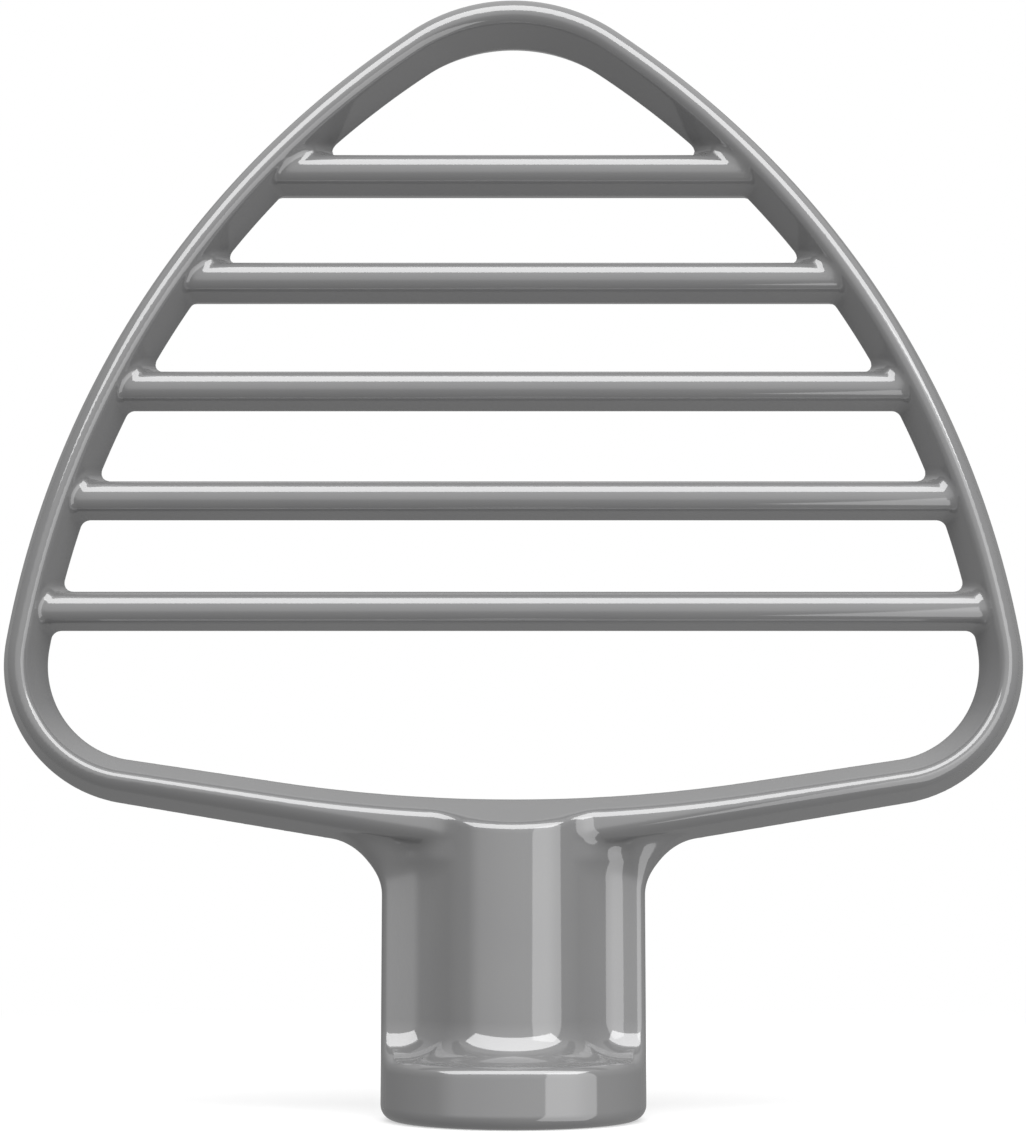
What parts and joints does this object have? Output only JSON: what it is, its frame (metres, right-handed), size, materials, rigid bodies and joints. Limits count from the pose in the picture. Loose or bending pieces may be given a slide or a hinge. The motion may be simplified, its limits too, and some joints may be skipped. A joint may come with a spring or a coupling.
{
  "type": "pastry beater",
  "caption": "Cast loop with a rounded peak and straight cross bars, on a webbed hub with a collar, a blind shaft bore and a bayonet slot.",
  "frame": {"origin": "centre of the collar's end face, which it stands on", "axes": "+Z along the shaft axis from the collar to the loop's peak, -Y towards the front of the loop, +X across the loop along the bars"},
  "size_m": [0.1328, 0.0338, 0.1476],
  "materials": {
    "coated_casting": "smooth satin silver-grey coating"
  },
  "bodies": {
    "root": {"beater_casting": "coated_casting"}
  },
  "joints": []
}
